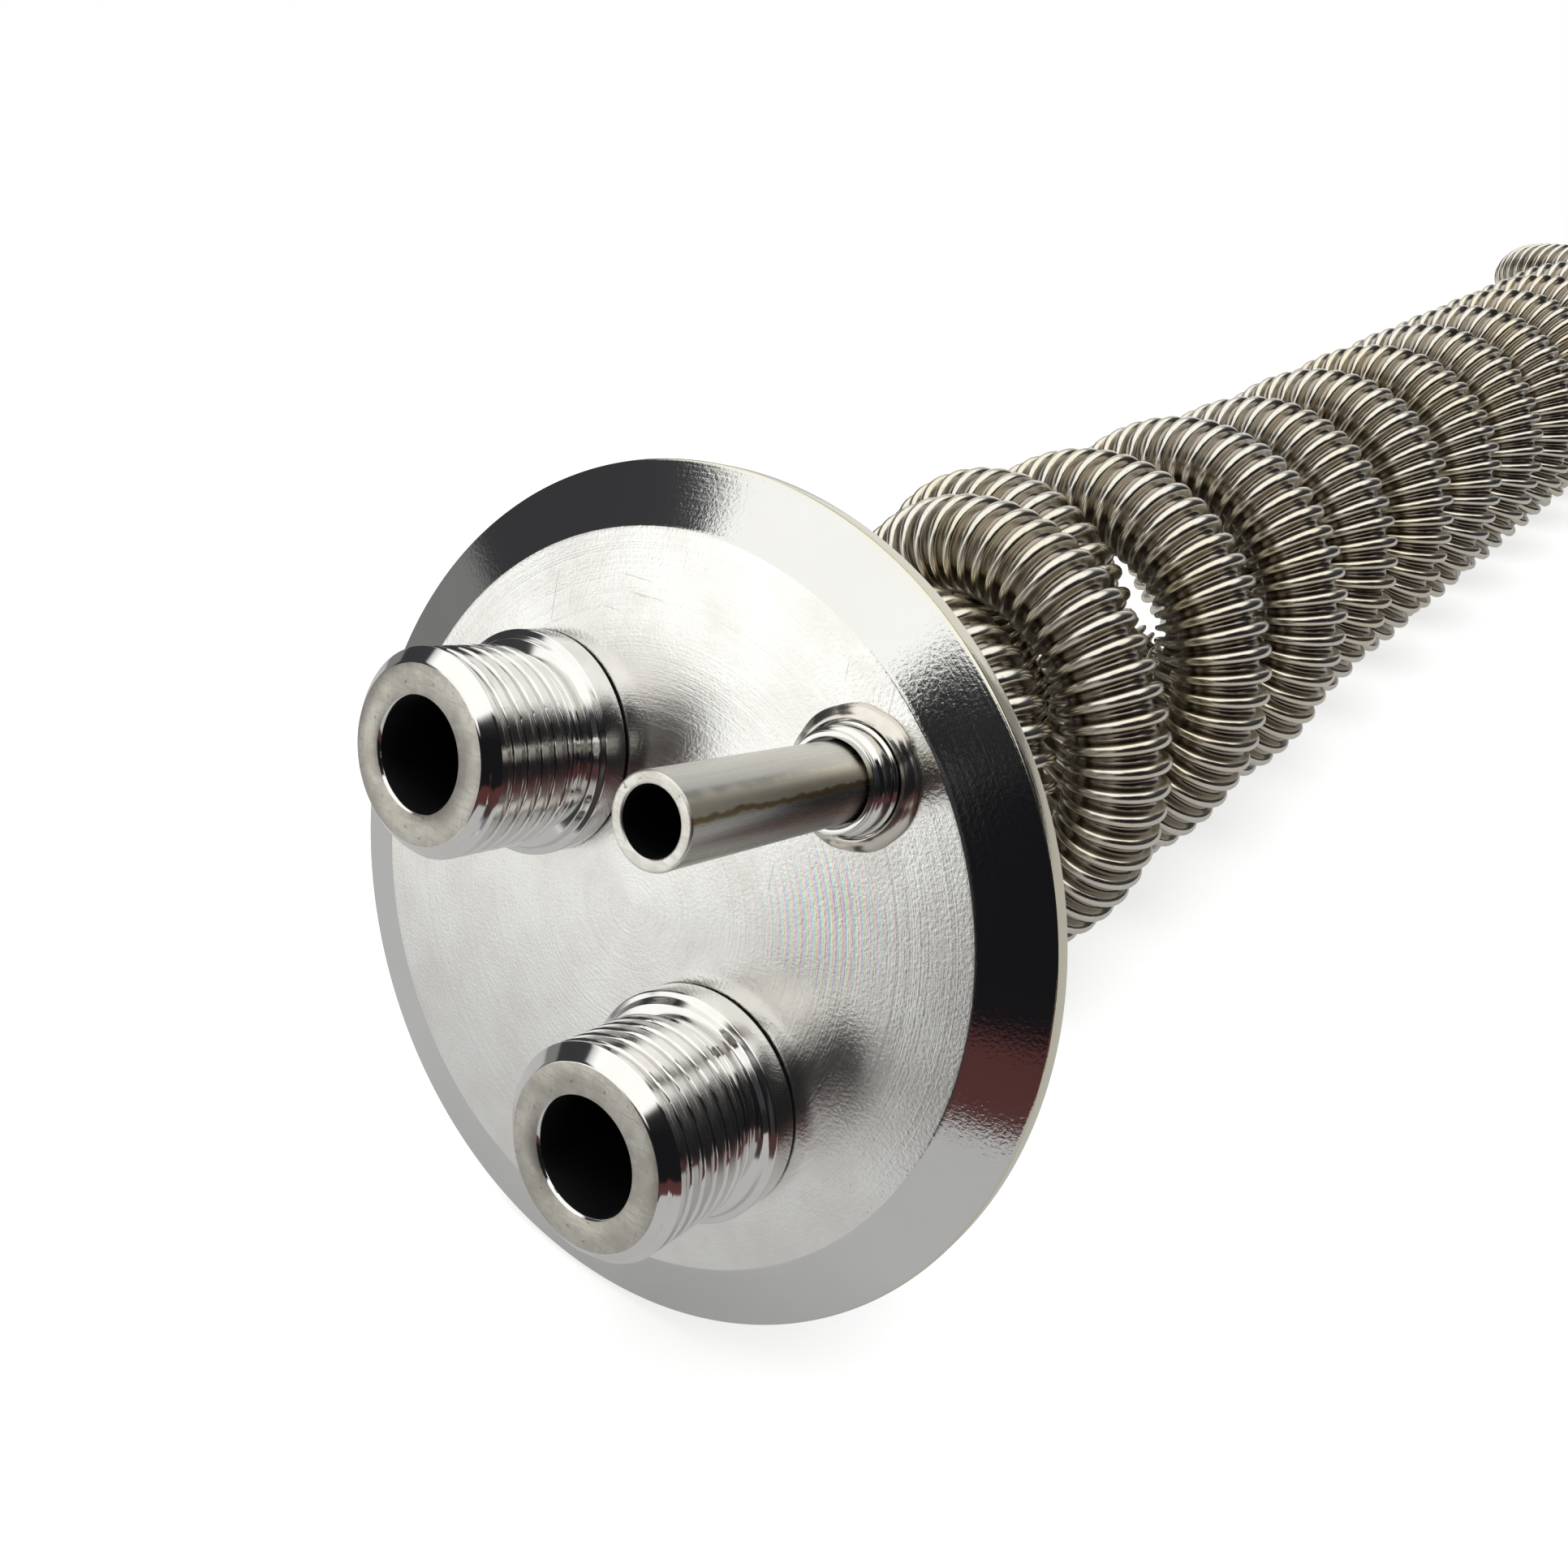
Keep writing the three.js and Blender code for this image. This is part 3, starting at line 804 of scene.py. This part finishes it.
def build_stub_collar():
    """Stepped collar: a band, a neck above it, and a thin lip round the tube."""
    inner = STUB_RADIUS + GAP
    section = [
        [inner, GAP], [COLLAR_RADIUS, GAP], [COLLAR_RADIUS, 1.5],
        [COLLAR_NECK_RADIUS, 1.8], [COLLAR_NECK_RADIUS, 3.2],
        [COLLAR_LIP_RADIUS + 0.15, 3.5], [COLLAR_LIP_RADIUS - 0.1, 3.7], [COLLAR_LIP_RADIUS, 4.0],
        [COLLAR_LIP_RADIUS - 0.1, COLLAR_TOP], [inner, COLLAR_TOP],
    ]
    lathe_piece("stub_turned_collar", section, 0.12, STUB, [POLISHED], "stub_collar")


def build_stub():
    build_stub_tube()
    build_stub_collar()
    raised = STUB @ Matrix.Translation((0, 0, FACE_BEAD_LIFT * MM))
    face_section = fillet(COLLAR_RADIUS + FACE_BEAD_GAP, FACE_BEAD_WIDTH, FACE_BEAD_HEIGHT)
    weld_bead("stub_face_bead", "stub_face_weld", raised, face_section, 9, 0.16, 4.3)
    back_section = fillet(STUB_RADIUS + GAP, STUB_BACK_BEAD_WIDTH, STUB_BACK_BEAD_HEIGHT)
    weld_bead("stub_back_bead", "stub_back_weld", facing_back(STUB), back_section, 14, 0.12, 7.9)


# ---------------------------------------------------------------- hose path

def smoothstep(x, low, high):
    t = np.clip((x - low) / (high - low), 0.0, 1.0)
    return t * t * (3 - 2 * t)


def along(pairs, x):
    """Smooth curve through (place, value) pairs, level at each pair."""
    value = np.full_like(x, pairs[0][1], dtype=float)
    for (low, start), (high, end) in zip(pairs, pairs[1:]):
        value += (end - start) * smoothstep(x, low, high)
    return value


def from_coil(points):
    """From the coil's own frame to the part's frame, in millimetres."""
    turn = np.array(Matrix.Rotation(-COIL_DROOP, 3, "X"))
    return points @ turn.T + np.array(COIL_START)


def winding(y, radii, angle, crowd):
    """One left-handed helical run. The angle is counted from the top, towards +X, and falls along the run."""
    shift, place, width = crowd
    push = shift * np.exp(-(((y - place) / width) ** 2))
    radius = along(radii, y)
    return from_coil(np.stack([radius * np.sin(angle), y - push, radius * np.cos(angle)], 1))


def coil_run():
    y = np.arange(COIL_FIRST, COIL_LAST, RUN_STEP)
    return winding(y, COIL_RADII, -2 * math.pi * (y - COIL_TOP) / COIL_PITCH, COIL_CROWD)


def return_run():
    """The run back, counted from its plate end. Its turning dies out where it becomes straight."""
    y = np.arange(RETURN_FIRST, RETURN_LAST, RUN_STEP)
    first = -2 * math.pi * (RETURN_FIRST - COIL_TOP - RETURN_OFFSET) / COIL_PITCH
    rate = -2 * math.pi / COIL_PITCH * (1 - smoothstep(y, *UNWIND))
    angle = first + np.concatenate([[0.0], np.cumsum(rate[:-1]) * RUN_STEP])
    return winding(y, RETURN_RADII, angle, RETURN_CROWD)


def unit(vector):
    return vector / np.linalg.norm(vector)


def bend(start, leaving, end, arriving, handle):
    """Cubic curve between two ends with given directions."""
    t = np.linspace(0, 1, BEND_POINTS)[1:-1, None]
    first = start + handle * leaving
    last = end - handle * arriving
    return (1 - t) ** 3 * start + 3 * (1 - t) ** 2 * t * first + 3 * (1 - t) * t * t * last + t ** 3 * end


def straight(start, end):
    t = np.linspace(0, 1, STRAIGHT_POINTS)[:, None]
    return start + t * (end - start)


def port_lead(foot):
    """Where the hose leaves a port, its direction there, and where it starts to bend."""
    origin = np.array(foot.translation) / MM
    away = -np.array(PLATE.to_3x3().col[2])
    start = origin + away * -HOSE_START
    return start, away, start + away * LEAD_STRAIGHT


def rough_path():
    """All pieces of the centreline, joined end to end."""
    inlet, inlet_away, inlet_end = port_lead(INLET)
    outlet, outlet_away, outlet_end = port_lead(OUTLET)
    coil = coil_run()
    back = return_run()[::-1]
    axis = unit(from_coil(np.array([[0, 1, 0]]))[0] - from_coil(np.zeros((1, 3)))[0])
    turn_end = from_coil(np.array([[0, COIL_LAST, 0]]))[0]
    return np.concatenate([
        straight(inlet, inlet_end),
        bend(inlet_end, inlet_away, coil[0], unit(coil[1] - coil[0]), LEAD_HANDLE),
        coil,
        bend(coil[-1], unit(coil[-1] - coil[-2]), turn_end, -axis, BEND_HANDLE),
        straight(turn_end, back[0]),
        back,
        bend(back[-1], unit(back[-1] - back[-2]), outlet_end, -outlet_away, LEAD_HANDLE),
        straight(outlet_end, outlet),
    ])


def moving_average(points, width):
    """Smooths a path without moving its ends."""
    kernel = np.ones(width) / width
    padded = np.pad(points, ((width, width), (0, 0)), mode="reflect", reflect_type="odd")
    return np.stack([np.convolve(padded[:, i], kernel, "same") for i in range(3)], 1)[width:-width]


def hose_path():
    """The whole centreline at even steps, smoothed, and the distance along it at each point."""
    points = rough_path()
    gaps = np.linalg.norm(np.diff(points, axis=0), axis=1)
    points = points[np.concatenate([[True], gaps > 1e-5])]
    run = np.concatenate([[0.0], np.cumsum(np.linalg.norm(np.diff(points, axis=0), axis=1))])
    places = np.arange(0.0, run[-1], PATH_STEP)
    even = np.stack([np.interp(places, run, points[:, i]) for i in range(3)], 1)
    return places, moving_average(even, PATH_SMOOTHING)


def path_frames(points):
    """Two side vectors at each point, turning as little as possible along the way."""
    tangents = np.gradient(points, axis=0)
    tangents /= np.linalg.norm(tangents, axis=1)[:, None]
    side = unit(np.cross(tangents[0], np.array([0.3, 0.2, 1.0])))
    sides = np.zeros_like(points)
    for i, tangent in enumerate(tangents):
        side = unit(side - tangent * side.dot(tangent))
        sides[i] = side
    return sides, np.cross(tangents, sides)


# ---------------------------------------------------------------- hose surface

def corrugation(fine):
    """Rows of one corrugation, from valley to valley.

    Each is (place along the pitch, depth below the crest, crest share).
    """
    crest_steps, valley_steps = (6, 4) if fine else (4, 2)
    half = HOSE_PITCH / 2
    up = []
    for step in range(valley_steps + 1):
        turn = 0.5 * math.pi * step / valley_steps
        up.append((VALLEY_ROUND * math.sin(turn), HOSE_DEPTH - VALLEY_ROUND * (1 - math.cos(turn))))
    for step in range(crest_steps + 1):
        turn = 0.5 * math.pi * (1 - step / crest_steps)
        up.append((half - CREST_ROUND * math.sin(turn), CREST_ROUND * (1 - math.cos(turn))))
    down = [(HOSE_PITCH - place, depth) for place, depth in reversed(up[1:-1])]
    return [(place, depth, 1 - depth / HOSE_DEPTH) for place, depth in up + down]


def rings_along(path, where, radius, segments):
    """Points of circles about the path, one circle at each place."""
    places, points, sides, ups = path
    turn = 2 * math.pi * np.arange(segments) / segments

    def at_places(track):
        return np.stack([np.interp(where, places, track[:, i]) for i in range(3)], 1)

    centre, side, up = at_places(points), at_places(sides), at_places(ups)
    spread = np.cos(turn)[None, :, None] * side[:, None, :] + np.sin(turn)[None, :, None] * up[:, None, :]
    return (centre[:, None, :] + radius[:, None, None] * spread).reshape(-1, 3)


def ring_faces(count, segments):
    """Faces between neighbouring circles. The last circle joins the first."""
    row = np.arange(count)[:, None] * segments
    following = (np.arange(count)[:, None] + 1) % count * segments
    this = np.arange(segments)[None, :]
    beside = (this + 1) % segments
    return np.stack([row + this, row + beside, following + beside, following + this], 2).reshape(-1, 4)


def build_hose(name, path, first, waves, segments, fine):
    """Corrugated wall with an open bore, over a number of waves from a place along the path."""
    wave = np.array(corrugation(fine))
    outer_rings = (first + HOSE_PITCH * np.arange(waves)[:, None] + wave[None, :, 0]).ravel()
    outer_rings = np.append(outer_rings, first + HOSE_PITCH * waves)
    depth = np.append(np.tile(wave[:, 1], waves), wave[0, 1])
    crest = np.append(np.tile(wave[:, 2], waves), wave[0, 2])
    inner_rings = outer_rings[::len(wave)][::-1]
    bore = np.full(len(inner_rings), HOSE_RADIUS - HOSE_DEPTH - HOSE_WALL)
    outer = rings_along(path, outer_rings, HOSE_RADIUS - depth, segments)
    inner = rings_along(path, inner_rings, bore, segments)
    verts = np.concatenate([outer, inner]) * MM
    faces = ring_faces(len(outer_rings) + len(inner_rings), segments).tolist()
    place = Matrix.Identity(4)
    hose = make_object(name, verts, faces, place, [HOSE_STEEL], ["coil_hose"])
    values = np.concatenate([np.repeat(crest, segments), np.zeros(len(inner))]).astype(np.float32)
    attribute = hose.data.attributes.new("crest", "FLOAT", "POINT")
    attribute.data.foreach_set("value", values)


def build_hoses():
    places, points = hose_path()
    path = (places, points, *path_frames(points))
    total = int(places[-1] / HOSE_PITCH)
    start = 0
    for name, waves, segments, fine in NEAR_STRETCHES:
        build_hose(name, path, start * HOSE_PITCH, waves, segments, fine)
        start += waves
    last = total - OUTLET_WAVES
    build_hose("hose_return_run", path, start * HOSE_PITCH, last - start, RETURN_SIDES, False)
    build_hose("hose_outlet_loops", path, last * HOSE_PITCH, OUTLET_WAVES, OUTLET_SIDES, True)


# ---------------------------------------------------------------- stage, light and camera

# Greys of the floor, as (glow, diffuse): seen by the camera, and mirrored in the metal.
FLOOR_SEEN = (0.72, 0.36)
FLOOR_MIRRORED = (0.34, 0.14)

# Floor outline and the overhead light, in metres.
FLOOR_CORNERS = ((-0.8, -0.17), (0.17, -0.17), (0.17, 0.75), (-0.8, 0.75))
FLOOR_DROP = 0.2 * MM
LIGHT_PLACE = (-0.15, 0.1, 0.8)
LIGHT_TARGET = (0, 0.1, 0)
LIGHT_SIZE = (0.7, 1.1)
LIGHT_WATTS = 9


def floor_material():
    """White floor with a faint shadow for the camera. Reflections of it in the metal are mid grey."""
    material = bpy.data.materials.new("pale_floor")
    material.use_nodes = True
    tree = material.node_tree
    tree.nodes.remove(tree.nodes["Principled BSDF"])

    def grey(glow, diffuse):
        both = tree.nodes.new("ShaderNodeAddShader")
        parts = (("ShaderNodeEmission", glow), ("ShaderNodeBsdfDiffuse", diffuse))
        for (kind, level), socket in zip(parts, both.inputs):
            made = tree.nodes.new(kind)
            made.inputs["Color"].default_value = (level, level, level, 1)
            tree.links.new(made.outputs[0], socket)
        return both.outputs[0]

    rays = tree.nodes.new("ShaderNodeLightPath")
    mix = tree.nodes.new("ShaderNodeMixShader")
    tree.links.new(rays.outputs["Is Glossy Ray"], mix.inputs[0])
    tree.links.new(grey(*FLOOR_SEEN), mix.inputs[1])
    tree.links.new(grey(*FLOOR_MIRRORED), mix.inputs[2])
    tree.links.new(mix.outputs[0], tree.nodes["Material Output"].inputs["Surface"])
    return material


def build_floor():
    lowest = min(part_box("plate")[0][2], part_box("coil_hose")[0][2])
    mesh = bpy.data.meshes.new("floor")
    mesh.from_pydata([(x, y, lowest - FLOOR_DROP) for x, y in FLOOR_CORNERS], [], [(0, 1, 2, 3)])
    mesh.materials.append(floor_material())
    floor = bpy.data.objects.new("floor", mesh)
    bpy.context.scene.collection.objects.link(floor)


# What the metal reflects: patches of the studio as (azimuths, elevations, softness, colour), in degrees.
# Azimuth 0 is towards -Y and grows towards +X. Each patch covers the ones before it; -999 has no soft edge.
STUDIO = (
    ((-999, 180), (-90, 34), 14, (0.28, 0.28, 0.29)),
    ((-999, -132), (-40, 26), 6, (0.90, 0.90, 0.91)),
    ((-132, -102), (-30, 2), 4, (0.14, 0.14, 0.145)),
    ((-48, -8), (-30, 3), 4, (0.90, 0.90, 0.88)),
    ((-48, 6), (3, 60), 4, (1.30, 1.30, 1.27)),
    ((-11, 12), (-14, 26), 3, (0.05, 0.048, 0.048)),
    ((-102, -42), (11, 37), 3, (0.05, 0.05, 0.055)),
    ((-102, -50), (-12, 8), 4, (0.24, 0.24, 0.24)),
    ((94, 166), (-48, 11), 4, (0.022, 0.020, 0.020)),
    ((98, 160), (11, 34), 8, (0.05, 0.05, 0.055)),
    ((38, 98), (30, 52), 5, (0.014, 0.013, 0.014)),
    ((12, 98), (-2, 36), 2, (0.010, 0.010, 0.012)),
    ((0, 20), (28, 37), 2, (0.020, 0.020, 0.022)),
    ((12, 90), (-16, -2), 2, (0.105, 0.040, 0.038)),
)
CEILING = (1.35, 1.35, 1.32)


def build_world():
    """White for the camera. Reflections see a bright ceiling and front, and dark sides where people stand."""
    world = bpy.data.worlds.new("studio")
    bpy.context.scene.world = world
    world.use_nodes = True
    s = Nodes(world.node_tree)
    background = s.tree.nodes["Background"]
    direction = s.node("ShaderNodeTexCoord").outputs["Generated"]
    x, y, z = s.split(direction)
    azimuth = s.math("DEGREES", s.math("ARCTAN2", x, s.math("MULTIPLY", y, -1.0)))
    elevation = s.math("DEGREES", s.math("ARCSINE", z))
    color = CEILING
    for azimuths, elevations, soft, patch in STUDIO:
        around = s.window(azimuth, azimuths[0], azimuths[1], soft)
        share = s.math("MULTIPLY", around, s.window(elevation, elevations[0], elevations[1], soft))
        color = s.mix(share, color, patch)
    rays = s.node("ShaderNodeLightPath")
    s.link(s.mix(rays.outputs["Is Camera Ray"], color, (1.0, 1.0, 1.0)), background.inputs["Color"])
    background.inputs["Strength"].default_value = 1.0


def build_light():
    data = bpy.data.lights.new("overhead", "AREA")
    data.shape = "RECTANGLE"
    data.size, data.size_y = LIGHT_SIZE
    data.energy = LIGHT_WATTS
    light = bpy.data.objects.new("overhead", data)
    bpy.context.scene.collection.objects.link(light)
    light.location = LIGHT_PLACE
    light.rotation_mode = "QUATERNION"
    light.rotation_quaternion = (Vector(LIGHT_TARGET) - Vector(LIGHT_PLACE)).to_track_quat("-Z", "Y")
    light.visible_camera = False
    light.visible_glossy = False


def build_camera():
    data = bpy.data.cameras.new("camera")
    data.lens = CAMERA_FOCAL
    data.sensor_width = SENSOR
    data.clip_start = 0.005
    data.clip_end = 20
    camera = bpy.data.objects.new("camera", data)
    bpy.context.scene.collection.objects.link(camera)
    look = Euler((math.radians(90 - CAMERA_ELEVATION), 0, math.radians(CAMERA_AZIMUTH)), "XYZ").to_matrix()
    roll = Matrix.Rotation(math.radians(CAMERA_ROLL), 3, "Z")
    camera.matrix_world = Matrix.Translation(CAMERA_PLACE * MM) @ (look @ roll).to_4x4()
    bpy.context.scene.camera = camera


def build_stage():
    build_floor()
    build_world()
    build_light()
    bpy.context.scene.view_settings.view_transform = "Standard"


build_plate()
build_port("inlet", INLET, 1.1)
build_port("outlet", OUTLET, 2.3)
build_stub()
build_hoses()
build_stage()
build_camera()
